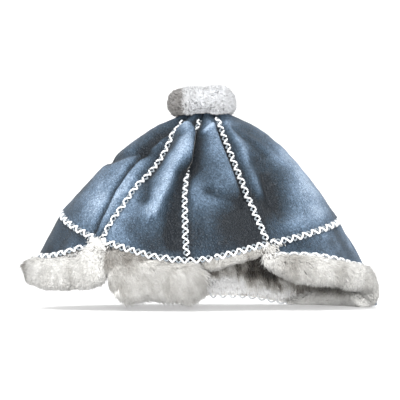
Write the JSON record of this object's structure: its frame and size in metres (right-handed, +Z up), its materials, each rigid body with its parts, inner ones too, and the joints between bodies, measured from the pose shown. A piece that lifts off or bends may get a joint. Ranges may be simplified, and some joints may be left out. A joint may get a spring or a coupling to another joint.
{
  "type": "trapper hat",
  "caption": "Shearling trapper hat: a laced bell crown of leather gores lined with wool, with ear flaps, neck panels, a fur bill and a rolled fur topknot.",
  "frame": {"origin": "on the ground under the middle of the hat, as it stands on its lower edge", "axes": "+Z up through the crown, the wearer's face towards -Y, +X towards the wearer's left ear"},
  "size_m": [0.3531, 0.2047, 0.2167],
  "materials": {
    "blue_leather": "satin nappa-finished sheepskin leather",
    "wool": "dense clipped shearling wool",
    "lacing_yarn": "matt twisted yarn"
  },
  "bodies": {
    "crown": {"gore_side_right": "blue_leather", "gore_back_right": "blue_leather", "gore_back_left": "blue_leather", "gore_side_left": "blue_leather", "gore_ear_left": "blue_leather", "gore_front_left": "blue_leather", "gore_front_right": "blue_leather", "gore_ear_right": "blue_leather", "neck_panel_right": "blue_leather", "neck_panel_left": "blue_leather", "topknot": "wool", "topknot_tie": "lacing_yarn", "front_roll": "wool", "lacing_right": "lacing_yarn", "lacing_back_right": "lacing_yarn", "lacing_back": "lacing_yarn", "lacing_back_left": "lacing_yarn", "lacing_left": "lacing_yarn", "lacing_front_left": "lacing_yarn", "lacing_front": "lacing_yarn", "lacing_front_right": "lacing_yarn", "lacing_front_roll": "lacing_yarn", "lacing_neck_right": "lacing_yarn", "lacing_neck_left": "lacing_yarn", "lacing_neck_back": "lacing_yarn", "lacing_neck_edge_right": "lacing_yarn", "lacing_neck_edge_left": "lacing_yarn", "lacing_ear_flap_right": "lacing_yarn", "lacing_ear_flap_left": "lacing_yarn", "lacing_front_bill": "lacing_yarn"},
    "ear_flap_right": {"ear_flap_right": "blue_leather", "ear_flap_fur_right": "wool", "lacing_ear_fur_right": "lacing_yarn"},
    "ear_flap_left": {"ear_flap_left": "blue_leather", "ear_flap_fur_left": "wool", "lacing_ear_fur_left": "lacing_yarn"},
    "bill": {"front_bill": "wool"}
  },
  "joints": [
    {"name": "ear_flap_right_hinge", "type": "hinge", "parent": "crown", "child": "ear_flap_right", "pos_m": [0.1115, -0.0455, 0.0715], "axis": [-0.6322, -0.7423, -0.2221], "range_deg": [-10, 35], "deforming": ["lacing_ear_flap_right"]},
    {"name": "ear_flap_left_hinge", "type": "hinge", "parent": "crown", "child": "ear_flap_left", "pos_m": [-0.125, -0.041, 0.0795], "axis": [-0.5046, 0.7952, 0.3364], "range_deg": [-10, 60], "deforming": ["lacing_ear_flap_left"]},
    {"name": "bill_hinge", "type": "hinge", "parent": "crown", "child": "bill", "pos_m": [-0.038, -0.095, 0.052], "axis": [-0.9647, 0.2107, 0.1581], "range_deg": [-10, 120], "deforming": ["lacing_front_bill"]}
  ]
}
